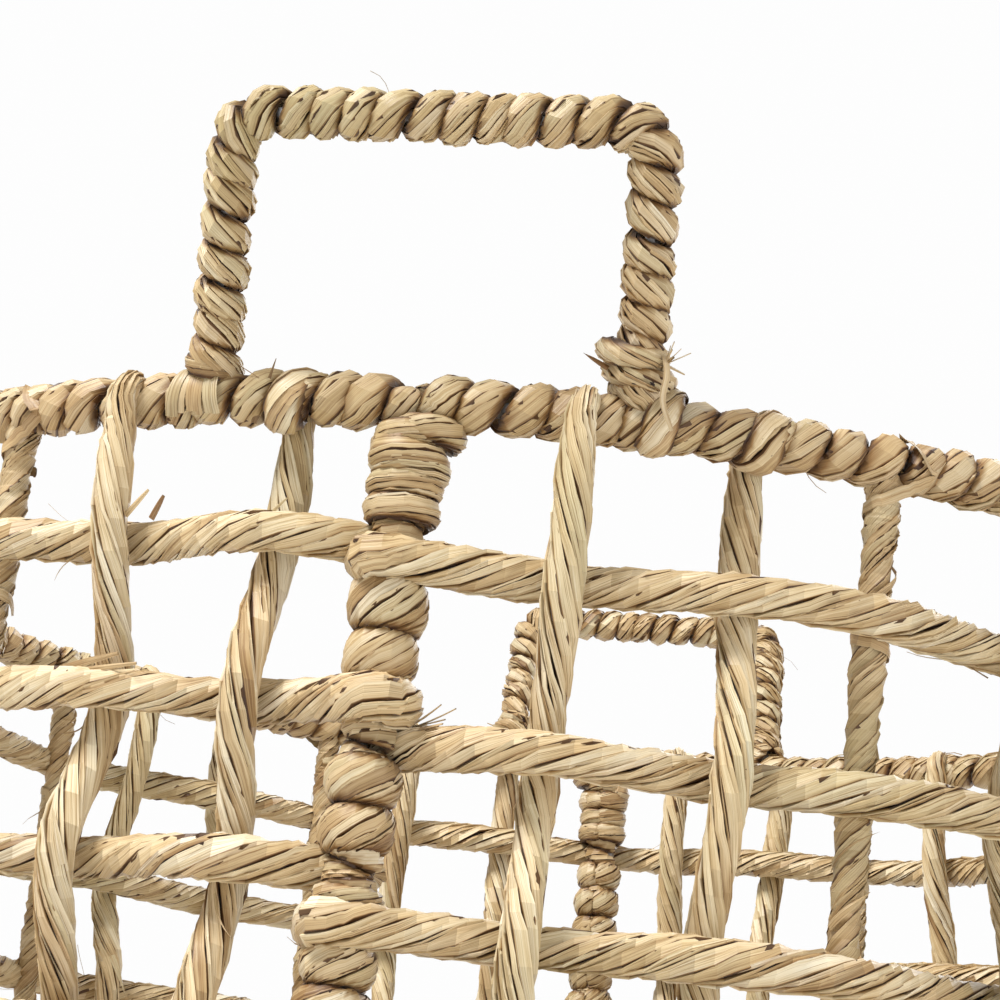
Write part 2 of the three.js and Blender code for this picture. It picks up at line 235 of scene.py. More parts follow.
def coil(bar, radius, pitch, rng):
    """The path of a rope wound round a bar's path as a left-handed screw, with its turns
    unevenly spaced."""
    turns = bar.length / pitch
    theta = np.linspace(0, TAU * turns, int(turns * TAU * radius / COIL_STEP))
    s = theta / TAU * pitch + wander(rng, theta, 29.0, pitch * 0.16)
    centre, normal, binormal = bar.at(np.clip(s, 0, bar.length))
    angle = theta[:, None]
    out = np.cos(angle) * normal - np.sin(angle) * binormal
    swell = 1 + wander(rng, theta, 17.0, 0.06)
    return Path(centre + radius * swell[:, None] * out, out)


# Strips ------------------------------------------------------------------------------------

def crowded_lengths(path, from_end):
    """Lengths along a path that grow faster near its ends, where a rope is bent most."""
    crowding = 1 + 2.2 * (from_end < 5)
    return np.concatenate([[0], np.cumsum(np.diff(path.s) * crowding[1:])])


def crease_places(path, spread, facet, rng):
    """Arc lengths of one strip's creases, a facet apart or so in its spread-out lengths."""
    steps = rng.uniform(0.55, 1.45, max(3, round(spread[-1] / facet)))
    places = np.concatenate([[0], np.cumsum(steps)]) / steps.sum() * spread[-1]
    return np.interp(places, spread, path.s)


def uneven_heights(s, rng):
    """The height of a strip's section at each crease, lifted and tilted at random."""
    n = len(s)
    sharpness = rng.choice([0.3, 1.0, 1.9], n)
    lift = wander(rng, s, 0.05, 0.2 * MM) + rng.normal(0, 0.095 * MM, n) * sharpness
    tilt = rng.normal(0, 0.095 * MM, n) * sharpness
    proud = rng.uniform(0.3, 1.5)
    crown = np.array([1, proud, proud, proud, proud, 1])
    across = np.clip(SECTION_ACROSS, -1, 1)
    return SECTION_HEIGHT * crown + lift[:, None] + tilt[:, None] * across


class Leaf:
    """Gathers strips of leaf into one mesh, with where each vertex lies on its strip."""

    def __init__(self):
        self.verts = []
        self.quads = []
        self.leaf = []  # across the strip, along it (metres), and its tone
        # painted shade for each vertex, from 0 (a faint painted highlight) to 1 (darkest)
        self.painted_shading = []
        self.count = 0

    def add_grid(self, grid, across, along, tone, painted_shading):
        """A grid of points, rows along the strip and columns across it."""
        rows, columns = grid.shape[:2]
        index = np.arange(rows * columns).reshape(rows, columns) + self.count
        corners = [index[:-1, :-1], index[:-1, 1:], index[1:, 1:], index[1:, :-1]]
        self.quads.append(np.stack(corners, -1).reshape(-1, 4))
        self.verts.append(grid.reshape(-1, 3))
        along, tone = along[:, None], tone[:, None]
        fields = np.broadcast_arrays(across, along, tone)
        self.leaf.append(np.stack(fields, -1).reshape(-1, 3))
        self.painted_shading.append(np.broadcast_to(painted_shading, (rows, columns)).reshape(-1))
        self.count += rows * columns

    def strands(self, path, half_width, half_height, strips, lay, rng, facet, tone, depth=1.0):
        """Flat strips twisted together along a path: their rope has an oval section, and
        narrows at its ends. Each strip is creased into facets, at places of its own. depth
        scales its relief."""
        from_end = np.minimum(path.s, path.length - path.s) / END_TAPER
        ends = 0.12 + 0.88 * np.sqrt(1 - np.clip(1 - from_end, 0, 1) ** 2)
        half_width = half_width * ends
        half_height = half_height * ends
        buried = np.clip(from_end / 3, 0, 1)
        self.add_core(path, half_width * buried, half_height * buried, depth)
        spread = crowded_lengths(path, from_end)
        shares = rng.uniform(0.5, 1.35, strips) ** 2
        widths = TAU * shares / shares.sum()
        starts = np.cumsum(widths) - widths / 2 + rng.random() * TAU
        for start, full in zip(starts, widths):
            s = crease_places(path, spread, facet, rng)
            n = len(s)
            centre, normal, binormal = path.at(s)
            angle = start + lay * s + wander(rng, s, 0.13, 0.09) + rng.normal(0, 0.03, n)
            half = full / 2 * (1 + wander(rng, s, 0.06, 0.09)) * rng.uniform(0.9, 1.08, n)
            psi = angle[:, None] + half[:, None] * SECTION_ACROSS
            # A strip is flat across, so its middle lies below the rope's round section.
            bend = np.minimum(half, 0.5)[:, None]
            flat = np.cos(bend) / np.cos(bend * np.clip(SECTION_ACROSS, -1, 1))
            narrow = np.interp(s, path.s, ends)[:, None]
            height = uneven_heights(s, rng) * depth * narrow
            aside = np.cos(psi) * (np.interp(s, path.s, half_width)[:, None] * flat + height)
            out = np.sin(psi) * (np.interp(s, path.s, half_height)[:, None] * flat + height)
            grid = (
                centre[:, None]
                + aside[..., None] * binormal[:, None]
                + out[..., None] * normal[:, None]
            )
            shade = tone + rng.normal(0, 0.16) + wander(rng, s, 0.12, 0.12)
            shade = np.clip(shade, 0, 1)
            # Painted shadow along the sides of turns that press together.
            shadow = np.clip((np.abs(np.cos(psi)) - 0.70) / 0.26, 0, 1) * (depth < PRESSED)
            painted_shading = np.maximum(SECTION_PAINTED_SHADING, shadow)
            offset = rng.random() * 7
            breadth = SECTION_ACROSS * full / 2 * ROPE_RADIUS + offset
            self.add_grid(grid, breadth, s + offset, shade, painted_shading)

    def add_core(self, path, half_width, half_height, depth):
        """The inside of the rope, seen between its strips, coloured near black as painted shade.
        """
        psi = np.linspace(0, TAU, 8)
        inset = 1.15 * MM * depth
        sparse = slice(None, None, 3)
        aside = np.cos(psi) * np.maximum(0.87 * half_width[sparse, None] - inset, 0)
        out = np.sin(psi) * np.maximum(0.87 * half_height[sparse, None] - inset, 0)
        grid = (
            path.points[sparse, None]
            + aside[..., None] * path.binormals[sparse, None]
            + out[..., None] * path.normals[sparse, None]
        )
        # Darkest tone and full painted shade: the core is painted as shadow.
        self.add_grid(grid, psi * MM, path.s[sparse], np.zeros(len(grid)), 1.0)

    def blade(self, points, normals, width, rng, tone=0.5, taper=0.0):
        """A loose strip or fibre along points, lying flat to the normals. It narrows to the
        share taper of its width."""
        path = Path(points, normals)
        share = path.s / path.length
        half = width / 2 * (1 - (1 - taper) * share**2.5)
        spread = np.array([-1.0, -0.35, 0.4, 1.0, 0.4, -0.35, -1.0])
        rise = np.array([0.0, 0.12, 0.06, 0.0, -0.12, -0.1, 0.0]) * min(width, 1.6 * MM)
        grid = (
            path.points[:, None]
            + (half[:, None] * spread)[..., None] * path.binormals[:, None]
            + rise[:, None] * path.normals[:, None, :]
        )
        shade = np.full(len(share), np.clip(tone + rng.normal(0, 0.15), 0, 1))
        offset = rng.random() * 7
        # The whole strip carries an even 0.25 of painted shade.
        self.add_grid(grid, spread * width / 2 + offset, path.s + offset, shade, 0.25)

    def loose_ends(self, path, radius, lay, rng, count):
        """Ends of strips and fibres that stand off a rope."""
        for _ in range(count):
            wide = rng.random() < 0.4
            width = rng.uniform(1.5, 2.8) * MM if wide else rng.uniform(0.35, 0.8) * MM
            length = rng.uniform(5, 13) * MM
            rise = rng.uniform(0.4, 2.2) * MM if wide else rng.uniform(1, 6) * MM
            way = rng.choice([-1, 1])
            t = np.linspace(0, 1, 7)
            start = rng.uniform(0.06, 0.94) * path.length
            centre, normal, binormal = path.at(start + way * length * t)
            psi = (rng.uniform(0, TAU) + lay * way * length * t)[:, None]
            out = np.cos(psi) * binormal + np.sin(psi) * normal
            reach = radius + 0.1 * MM + rise * t**2
            tone = rng.uniform(0.1, 0.8)
            self.blade(centre + reach[:, None] * out, out, width, rng, tone)

    def fray(self, path, rng):
        """Loose strips at a rope's start, standing up from it beside the rib."""
        for _ in range(5):
            t = np.linspace(0, 1, 6)
            s = 11 * MM + rng.uniform(9, 16) * MM * t
            centre = path.at(s)[0]
            up = np.array([0, 0, 1.0])
            side = unit(np.cross(up, centre[0] * [1, 1, 0])) * rng.normal(0, 0.3)
            out = unit(centre * [1, 1, 0] * rng.uniform(0.2, 1) / WALL_RADIUS + up + side)
            reach = (ROPE_RADIUS + rng.uniform(1, 7) * MM * t**1.5)[:, None]
            self.blade(centre + reach * out, out, rng.uniform(1.2, 2.8) * MM, rng, 0.4, 0.3)

    def build(self, name, material, replaced=()):
        """Makes the mesh object, riding on the basket's one body."""
        mesh = bpy.data.meshes.new(name)
        verts = np.concatenate(self.verts)
        verts[:, 2] = np.maximum(verts[:, 2], 0.1 * MM)  # pressed flat on the floor
        quads = np.concatenate(self.quads)
        mesh.vertices.add(len(verts))
        mesh.vertices.foreach_set("co", verts.astype(np.float32).ravel())
        mesh.loops.add(quads.size)
        mesh.loops.foreach_set("vertex_index", quads.astype(np.int32).ravel())
        mesh.polygons.add(len(quads))
        mesh.polygons.foreach_set("loop_start", np.arange(0, quads.size, 4, dtype=np.int32))
        mesh.update(calc_edges=True)
        leaf = mesh.attributes.new("leaf", "FLOAT_VECTOR", "POINT")
        leaf.data.foreach_set("vector", np.concatenate(self.leaf).astype(np.float32).ravel())
        painted_shading = mesh.attributes.new("painted_shading", "FLOAT", "POINT")
        painted_shading.data.foreach_set("value", np.concatenate(self.painted_shading).astype(np.float32))
        mesh.validate()
        mesh.set_sharp_from_angle(angle=math.radians(CREASE_ANGLE))
        mesh.materials.append(material)
        piece = bpy.data.objects.new(name, mesh)
        bpy.context.scene.collection.objects.link(piece)
        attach(piece, "root")
        if replaced:
            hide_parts(*replaced)
        return piece


# Materials ---------------------------------------------------------------------------------

class Nodes:
    """Short calls for building a node tree."""

    def __init__(self, material):
        material.use_nodes = True
        self.tree = material.node_tree
        self.tree.nodes.clear()

    def add(self, kind, **values):
        node = self.tree.nodes.new(kind)
        for key, value in values.items():
            if hasattr(node, key):
                setattr(node, key, value)
            else:
                node.inputs[key.replace("_", " ")].default_value = value
        return node

    def join(self, source, output, target, socket):
        self.tree.links.new(source.outputs[output], target.inputs[socket])

    def maths(self, operation, a, b=None):
        """A Math node: a is a (node, output) pair, and b is a pair or a number."""
        node = self.add("ShaderNodeMath", operation=operation)
        self.join(*a, node, 0)
        if isinstance(b, tuple):
            self.join(*b, node, 1)
        elif b is not None:
            node.inputs[1].default_value = b
        return node, 0

    def ramp(self, source, stops):
        node = self.add("ShaderNodeValToRGB")
        elements = node.color_ramp.elements
        while len(elements) < len(stops):
            elements.new(0.5)
        for element, (position, colour) in zip(elements, stops):
            element.position = position
            element.color = (*colour, 1)
        self.join(*source, node, "Fac")
        return node, 0

    def mix(self, factor, a, b, blend="MIX"):
        node = self.add("ShaderNodeMix", data_type="RGBA", blend_type=blend)
        for socket, value in ((0, factor), (6, a), (7, b)):
            if isinstance(value, tuple) and isinstance(value[0], bpy.types.Node):
                self.join(*value, node, socket)
            elif socket == 0:
                node.inputs[0].default_value = value
            else:
                node.inputs[socket].default_value = (*value, 1)
        return node, 2


def seagrass(name, tint):
    """Dried leaf: its tone changes from strip to strip, with fibres along each strip."""
    material = bpy.data.materials.new(name)
    n = Nodes(material)
    leaf = n.add("ShaderNodeAttribute", attribute_name="leaf")
    painted_shading = n.add("ShaderNodeAttribute", attribute_name="painted_shading")
    parts = n.add("ShaderNodeSeparateXYZ")
    n.join(leaf, "Vector", parts, 0)

    def streaks(across, along, detail):
        """Noise drawn out along the strip."""
        place = n.add("ShaderNodeCombineXYZ")
        n.join(*n.maths("MULTIPLY", (parts, 0), across), place, 0)
        n.join(*n.maths("MULTIPLY", (parts, 1), along), place, 1)
        noise = n.add("ShaderNodeTexNoise", Scale=1.0, Detail=detail, Roughness=0.6)
        n.join(place, 0, noise, "Vector")
        return noise, 0

    fibres = streaks(3800, 45, 3)
    veins = streaks(1500, 18, 2)
    patches = streaks(150, 60, 2)
    coordinates = n.add("ShaderNodeTexCoord")
    cloud = n.add("ShaderNodeTexNoise", Scale=9.0, Detail=2.0)
    n.join(coordinates, "Object", cloud, "Vector")

    tone = (parts, 2)
    for noise, strength in ((veins, 0.75), (patches, 0.6)):
        change = n.maths("MULTIPLY", n.maths("SUBTRACT", noise, 0.5), strength)
        tone = n.maths("ADD", tone, change)
    base = n.ramp(tone, [
        (0.0, (0.230, 0.118, 0.040)),
        (0.2, (0.410, 0.262, 0.115)),
        (0.45, (0.640, 0.475, 0.262)),
        (0.7, (0.760, 0.622, 0.400)),
        (1.0, (0.880, 0.795, 0.620)),
    ])
    green = n.ramp((cloud, 0), [(0.5, (0, 0, 0)), (0.72, (0.5, 0.5, 0.5))])
    base = n.mix(green, base, (0.47, 0.42, 0.21))
    # Each strip has an across value of its own, so a slow noise of it tells strips apart.
    strip = streaks(4, 0, 1)
    reddish = n.ramp(strip, [(0.30, (0.6, 0.6, 0.6)), (0.42, (0, 0, 0))])
    base = n.mix(reddish, base, (0.56, 0.36, 0.19))
    greyish = n.ramp(strip, [(0.56, (0, 0, 0)), (0.70, (0.7, 0.7, 0.7))])
    base = n.mix(greyish, base, (0.60, 0.54, 0.34))
    base = n.mix(1.0, base, tint, "MULTIPLY")
    lines = n.ramp(fibres, [
        (0.32, (0.42, 0.31, 0.19)),
        (0.43, (0.84, 0.79, 0.72)),
        (0.56, (1, 1, 1)),
    ])
    base = n.mix(1.0, base, lines, "MULTIPLY")
    # Painted shade multiplied into the colour: darkest in tucks, cores and the pressed sides of
    # turns, with a faint painted highlight on lifted edges.
    shade = n.ramp((painted_shading, "Fac"), [
        (0.0, (1.0, 1.0, 1.0)),
        (0.2, (0.93, 0.92, 0.90)),
        (0.6, (0.46, 0.33, 0.18)),
        (1.0, (0.11, 0.052, 0.010)),
    ])
    base = n.mix(1.0, base, shade, "MULTIPLY")

    rough = n.ramp(veins, [(0.3, (0.52, 0.52, 0.52)), (0.7, (0.34, 0.34, 0.34))])
    height = n.maths("ADD", fibres, n.maths("MULTIPLY", veins, 1.6))
    bump = n.add("ShaderNodeBump", Strength=0.35, Distance=0.00035)
    n.join(*height, bump, "Height")
    shader = n.add("ShaderNodeBsdfPrincipled")
    shader.inputs["Specular IOR Level"].default_value = 0.42
    shader.inputs["Sheen Weight"].default_value = 0.08
    n.join(*base, shader, "Base Color")
    n.join(*rough, shader, "Roughness")
    n.join(bump, 0, shader, "Normal")
    output = n.add("ShaderNodeOutputMaterial")
    n.join(shader, 0, output, 0)
    return material


def drawn_wire():
    """Plain steel wire, with draw lines and a little dull oxide."""
    material = bpy.data.materials.new("drawn_wire")
    n = Nodes(material)
    coordinates = n.add("ShaderNodeTexCoord")
    noise = n.add("ShaderNodeTexNoise", Scale=180.0, Detail=4.0)
    n.join(coordinates, "Object", noise, "Vector")
    base = n.ramp((noise, 0), [(0.35, (0.16, 0.13, 0.11)), (0.6, (0.42, 0.42, 0.43))])
    rough = n.ramp((noise, 0), [(0.3, (0.6, 0.6, 0.6)), (0.7, (0.3, 0.3, 0.3))])
    shader = n.add("ShaderNodeBsdfPrincipled", Metallic=1.0)
    n.join(*base, shader, "Base Color")
    n.join(*rough, shader, "Roughness")
    output = n.add("ShaderNodeOutputMaterial")
    n.join(shader, 0, output, 0)
    return material


def pale_floor():
    """Matt and pale near the basket, fading into the studio's white further away."""
    material = bpy.data.materials.new("pale_floor")
    n = Nodes(material)
    coordinates = n.add("ShaderNodeTexCoord")
    distance = n.add("ShaderNodeVectorMath", operation="LENGTH")
    n.join(coordinates, "Object", distance, 0)
    far = n.maths("SUBTRACT", (distance, "Value"), FADE_START)
    shader = n.add("ShaderNodeBsdfPrincipled", Roughness=0.9)
    shader.inputs["Base Color"].default_value = (0.88, 0.875, 0.865, 1)
    white = n.add("ShaderNodeEmission", Strength=STUDIO_WHITE)
    mix = n.add("ShaderNodeMixShader")
    n.join(*n.ramp(far, [(0.0, (0, 0, 0)), (1.0, (1, 1, 1))]), mix, 0)
    n.join(shader, 0, mix, 1)
    n.join(white, 0, mix, 2)
    output = n.add("ShaderNodeOutputMaterial")
    n.join(mix, 0, output, 0)
    return material


# The weave, as in the CAD model -------------------------------------------------------------

def station_angle(station):
    """A station is an upright or one of the two wall ropes after it, counted round the wall."""
    turn, in_turn = divmod(station, STATIONS)
    bay, place = divmod(in_turn, 3)
    start = UPRIGHT_ANGLES[bay]
    end = UPRIGHT_ANGLES[bay + 1] if bay + 1 < len(UPRIGHT_ANGLES) else UPRIGHT_ANGLES[0] + 360
    share = [0, *STAKE_SHARES][place]
    return start + share * (end - start) + 360 * turn


def leaning(angle, height):
    """The angle of an upright or a wall rope at a height: each leans to the right going up."""
    return angle + WALL_LEAN * (height / RIM_HEIGHT - 0.4)


def row_drop(row, share):
    """How far a row is below the rim, at a share of its way round."""
    rise = min(1.5 * MM + 4 * MM * row, MAX_ROW_RISE)
    return FIRST_ROW_DROP + ROW_SPACING * (row - 1) + rise * (0.5 - share)


def stake_side(station, row):
    """+1 where a wall rope is outside the row that it crosses, -1 where it is inside."""
    return 1 if (station % 3 == 1) == (row % 2 == 1) else -1


def row_controls(row):
    """A row's points, once round the wall from the front rib to the front rib."""
    first = station_angle(0)
    outside = 1 if row % 2 == 1 else -1

    def place(angle, offset):
        height = RIM_HEIGHT - row_drop(row, (angle - first) / 360)
        return on_wall(leaning(angle, height), WALL_RADIUS + offset, height)

    # The outer end hooks round the rib's side, and the inner end stops behind the rib: degrees
    # past the rib's middle, and the offset from the wall's middle.
    hook = [(0, HOOK_CLEAR), (0.8, 6.3 * MM), (1.35, 1.5 * MM), (1.3, -4.5 * MM)]
    stop = [(0, -HOOK_CLEAR), (0.8, -6.3 * MM)]
    starting, ending = (hook, stop) if row % 2 else (stop, hook)
    points = [place(first - shift, offset) for shift, offset in starting[::-1]]
    for s in range(1, STATIONS):
        angle = station_angle(s)
        if s % 3:
            offset = -WEAVE * stake_side(s, row)
        else:
            offset = outside * RIB_CLEAR if s // 3 in RIBS else WEAVE
        points.append(place(angle, offset))
    return points + [place(first + 360 + shift, offset) for shift, offset in ending]


def under_hoop(angle, turns):
    """Points round the base hoop, by their angle about it in degrees, where 0 is outside and
    90 is below."""
    points = []
    for turn in turns:
        out = HOOP_CLEAR * math.cos(math.radians(turn))
        drop = HOOP_CLEAR * math.sin(math.radians(turn))
        points.append(on_wall(angle, WALL_RADIUS + out, BASE_HOOP_HEIGHT - drop))
    return points


def round_rim(angle, turns, reaches, lean=0.0):
    """Points round the rim's binding, by their angle about its centreline in degrees, where 0
    is outside and 90 on top. lean is how far the turn moves round the rim."""
    points = []
    slides = np.linspace(-0.5, 0.5, len(turns)) * math.degrees(lean / WALL_RADIUS)
    for turn, reach, slide in zip(np.radians(turns), reaches, slides):
        radius = WALL_RADIUS + reach * math.cos(turn)
        points.append(on_wall(angle + slide, radius, RIM_HEIGHT + reach * math.sin(turn)))
    return points


def stake_controls(station):
    """A wall rope's points from its end at the rim to the underside of the base hoop. It is
    tucked into the rim's binding, from the front or from behind."""
    angle = station_angle(station)
    share = ((angle - station_angle(0)) / 360) % 1
    reaches = np.array([4.6, 6.4, 8.0, 9.0, 9.6]) * MM
    outside = stake_side(station, 1) > 0
    turns = [50, 34, 16, -4, -30] if outside else [110, 128, 150, 177, 205]
    points = round_rim(leaning(angle, RIM_HEIGHT), turns, reaches, -2 * MM)
    for row in range(1, ROWS + 1):
        height = RIM_HEIGHT - row_drop(row, share)
        radius = WALL_RADIUS + WEAVE * stake_side(station, row)
        points.append(on_wall(leaning(angle, height), radius, height))
    return points + under_hoop(leaning(angle, 0), [-30, 15, 60, 90])


def collar(angle, reach, height, drop, start, end):
    """Points round an upright on the wall, by degrees about it: 0 is outside and 90 is towards
    greater angles. The turn comes down by drop on its way."""
    turns = np.radians(np.linspace(start, end, 2 + int(abs(end - start) / 30)))[:, None]
    middle = on_wall(angle, WALL_RADIUS, height)
    outward, aside = on_wall(angle, 1.0, 0.0), on_wall(angle + 90, 1.0, 0.0)
    fall = np.linspace(0.5, -0.5, len(turns))[:, None] * [0, 0, drop]
    return middle + reach * (np.cos(turns) * outward + np.sin(turns) * aside) + fall


def upright_line(angle):
    """The line of an upright, as a point on it and its direction."""
    return on_wall(angle, WALL_RADIUS, 0.0), np.array([0.0, 0.0, 1.0])


def rim_line(angle):
    """The line that the rim hoop follows at an angle, as a point on it and its direction."""
    return on_wall(angle, WALL_RADIUS, RIM_HEIGHT), on_wall(angle + 90, 1.0, 0.0)


def foot_of(station):
    """The place on the floor below a station."""
    return on_wall(station_angle(station), WALL_RADIUS, 0.0)


def crossing(line, other):
    """Where two lines of the base cross, each given by its two stations."""
    a, b = foot_of(line[0]), foot_of(line[1])
    c, d = foot_of(other[0]), foot_of(other[1])
    b, d = b - a, d - c
    t = ((c[0] - a[0]) * d[1] - (c[1] - a[1]) * d[0]) / (b[0] * d[1] - b[1] * d[0])
    return a + t * b


def grid_controls(line, others, parity):
    """A rope of the base grid: down the wall, or round the hoop below an upright, and across."""
    def end(station):
        if station % 3:
            return stake_controls(station)
        return under_hoop(leaning(station_angle(station), 0), [-60, -20, 25, 60, 90])

    start, far = foot_of(line[0]), foot_of(line[1])
    way = unit(far - start)
    inside = 10 * MM / abs(np.dot(unit(start), way))
    lift = np.array([0, 0, ROPE_REST])
    middle = []
    for number, other in enumerate(others):
        side = 1 if (number + parity) % 2 else -1
        middle.append(crossing(line, other) + [0, 0, BASE_MIDDLE + side * BASE_WEAVE])
    points = end(line[0]) + [start + inside * way + lift] + middle
    return points + [far - inside * way + lift] + end(line[1])[::-1]


def handle_controls(bottom):
    """A handle's centreline in its own frame: up the left leg, along the bar and down."""
    points = []
    for side in (-1, 1):
        leg = [(HANDLE_HALF_WIDTH, z) for z in np.linspace(bottom, HANDLE_HEIGHT * 0.8, 5)]
        for turn in np.radians([15, 45, 75]):
            x = HANDLE_HALF_WIDTH - HANDLE_CORNER * (1 - math.cos(turn))
            leg.append((x, HANDLE_HEIGHT - HANDLE_CORNER * (1 - math.sin(turn))))
        leg += [(x, HANDLE_HEIGHT) for x in np.linspace(HANDLE_HALF_WIDTH * 0.75, 0, 4)]
        leg = leg if side < 0 else leg[-2::-1]
        for x, z in leg:
            up = z / HANDLE_HEIGHT
            points.append((side * (x - HANDLE_SPLAY * up) + HANDLE_SLANT * up, 0, z))
    return np.array(points)


def handle_frame(turn):
    """Turns and places a point of a handle's frame: its feet on the rim, leaning outwards."""
    lean = Matrix.Rotation(math.radians(HANDLE_LEAN), 4, "X")
    seat = Matrix.Translation((0, -HANDLE_SEAT, RIM_HEIGHT))
    return np.array(Matrix.Rotation(math.radians(turn), 4, "Z") @ seat @ lean)


def carried(points, matrix):
    """Points moved by a matrix."""
    return np.asarray(points) @ matrix[:3, :3].T + matrix[:3, 3]


# Pieces ------------------------------------------------------------------------------------

def twist_rope(leaf, path, radius, lay, rng):
    """A twisted rope, a little uneven, with a loose end here and there."""
    radius = radius * (0.98 + wander(rng, path.s, 0.12, 0.08))
    leaf.strands(path, radius, radius, ROPE_STRIPS, lay, rng, ROPE_FACET, 0.6)
    leaf.loose_ends(path, ROPE_RADIUS, lay, rng, int(path.length / (55 * MM)))


def bound_bar(leaf, points, radius, pitch, rng, strips=12, lay=BOUND_LAY, bulge=2.9 * MM):
    """A rope wound closely round a bar, so that each turn is one lobe."""
    path = coil(Path(points), radius - bulge, pitch, rng)
    swell = 1 + wander(rng, path.s, 0.06, 0.10)
    wide = pitch * 0.51 * (1 + wander(rng, path.s, 0.05, 0.08))
    leaf.strands(path, wide, bulge * swell, strips, lay, rng, COIL_FACET, 0.52, 0.6)
    count = int(path.length / (120 * MM))
    leaf.loose_ends(path, bulge, lay, rng, count)


def away_from(points, line):
    """Directions square to a line, given as a point on it and its direction."""
    place, way = line
    aside = points - place
    return unit(aside - (aside @ way)[:, None] * way)


def short_rope(leaf, controls, line, half_width, half_height, rng, strips=10, lay=LASHING_LAY):
    """One short length of rope, such as a turn of a lashing, with its flat side to a line."""
    points = smooth_curve(controls, COIL_STEP)
    path = Path(points, away_from(points, line))
    leaf.strands(path, half_width, half_height, strips, lay, rng, LASHING_FACET, 0.55, 0.7)


def tie(leaf, controls, line, width, rng, tone=0.6):
    """A single flat strip of leaf tied round a line."""
    points = smooth_curve(controls, 1.5 * MM)
    points = points + rng.normal(0, 0.12 * MM, points.shape)
    leaf.blade(points, away_from(points, line), width, rng, tone, 0.7)


def add_strays(leaf, row, rng):
    """A row's long stray strips."""
    for stray_row, station, start, end, width, tone in STRAYS:
        if stray_row == row:
            height = RIM_HEIGHT - row_drop(row, station / STATIONS)
            middle = leaning(station_angle(station - STATIONS), height)
            aside, up = np.linspace(start, end, 5).T * MM
            reach = WALL_RADIUS + WEAVE + 1.5 * MM * np.linspace(0, 1, 5)
            points = on_wall(middle + np.degrees(aside / WALL_RADIUS), reach, height + up)
            normals = away_from(points, upright_line(180))
            leaf.blade(points, normals, width * MM, rng, tone, 0.5)


def make_rows(material):
    """The rows, each thicker at the end that turns round the rib. An even row's inner end is
    frayed."""
    for row in range(1, ROWS + 1):
        rng = np.random.default_rng(100 + row)
        leaf = Leaf()
        path = Path(smooth_curve(row_controls(row), PATH_STEP))
        outer_end = 0 if row % 2 else path.length
        swell = 1 + 0.12 * np.exp(-(((path.s - outer_end) / (22 * MM)) ** 2))
        twist_rope(leaf, path, ROW_RADIUS * swell, ROW_LAY, rng)
        if row % 2 == 0:
            leaf.fray(path, rng)
        add_strays(leaf, row, rng)
        leaf.build(f"leaf_row_{row}", material, [f"row_{row}"])


def make_grid(material):
    """The wall ropes, pressed thin where they are tucked into the rim, and the base ropes."""
    half = STATIONS // 2
    along_y = [(s, half - s) for s in range(-CROSS_STATIONS, CROSS_STATIONS + 1)]
    along_x = [(-s, s) for s in range(CROSS_STATIONS + 1, half - CROSS_STATIONS)]
    for axis, lines, others, parity in (("y", along_y, along_x, 0), ("x", along_x, along_y, 1)):
        for number, line in enumerate(lines):
            kind = "wall_rope" if line[0] % 3 else "base_rope"
            node = f"{kind}_{axis}{number + 1}"
            rng = np.random.default_rng(200 + number + (50 if axis == "x" else 0))
            path = Path(smooth_curve(grid_controls(line, others, number + parity), PATH_STEP))
            radius = ROPE_RADIUS * np.ones_like(path.s)
            if line[0] % 3:
                from_end = np.minimum(path.s, path.length - path.s)
                radius *= 0.6 + 0.4 * np.clip(from_end / STAKE_TUCK, 0, 1)
            leaf = Leaf()
            twist_rope(leaf, path, radius, STAKE_LAY, rng)
            leaf.build(f"leaf_{node}", material, [node])


def make_hoops(material):
    """The two bound hoops."""
    for name, height, radius, pitch, strips, seed in (
        ("rim_binding", RIM_HEIGHT, RIM_RADIUS, RIM_PITCH, 10, 1),
        ("base_binding", BASE_HOOP_HEIGHT, BASE_WRAP_RADIUS, BASE_PITCH, 12, 2),
    ):
        leaf = Leaf()
        rng = np.random.default_rng(seed)
        circle = on_wall(np.linspace(0, 360, 361), WALL_RADIUS, height)
        bound_bar(leaf, circle, radius, pitch, rng, strips, bulge=min(3.2 * MM, radius / 2))
        if name == "rim_binding":
            add_thick_turns(leaf, rng)
        leaf.build(f"leaf_{name}", material, [name])


def add_thick_turns(leaf, rng):
    """Turns of the rim's binding over each wall rope that is tucked into it from behind."""
    for station in range(2, STATIONS, 3):
        angle = leaning(station_angle(station), RIM_HEIGHT)
        turns = np.linspace(160, -215, 14)
        reaches = 4.7 * MM + 2.2 * MM * np.exp(-(((turns + 60) / 50) ** 2))
        over = round_rim(angle, turns, reaches, -9 * MM)
        short_rope(leaf, over, rim_line(angle), 5.0 * MM, 3.0 * MM, rng, 10)


def make_handles(material):
    """The two bound handles and the lashings of their feet."""
    for name, turn, seed in (("front", 0, 11), ("back", 180, 12)):
        rng = np.random.default_rng(seed)
        frame_matrix = handle_frame(turn)
        controls = carried(handle_controls(RIM_WRAP_RADIUS - 1 * MM), frame_matrix)
        leaf = Leaf()
        bound_bar(leaf, smooth_curve(controls, PATH_STEP), HANDLE_RADIUS, HANDLE_PITCH, rng)
        leaf.build(f"leaf_handle_{name}", material, [f"handle_wrap_{name}"])
        make_right_knot(name, turn, frame_matrix, material, rng)
        make_left_knot(name, turn, frame_matrix, material, rng)


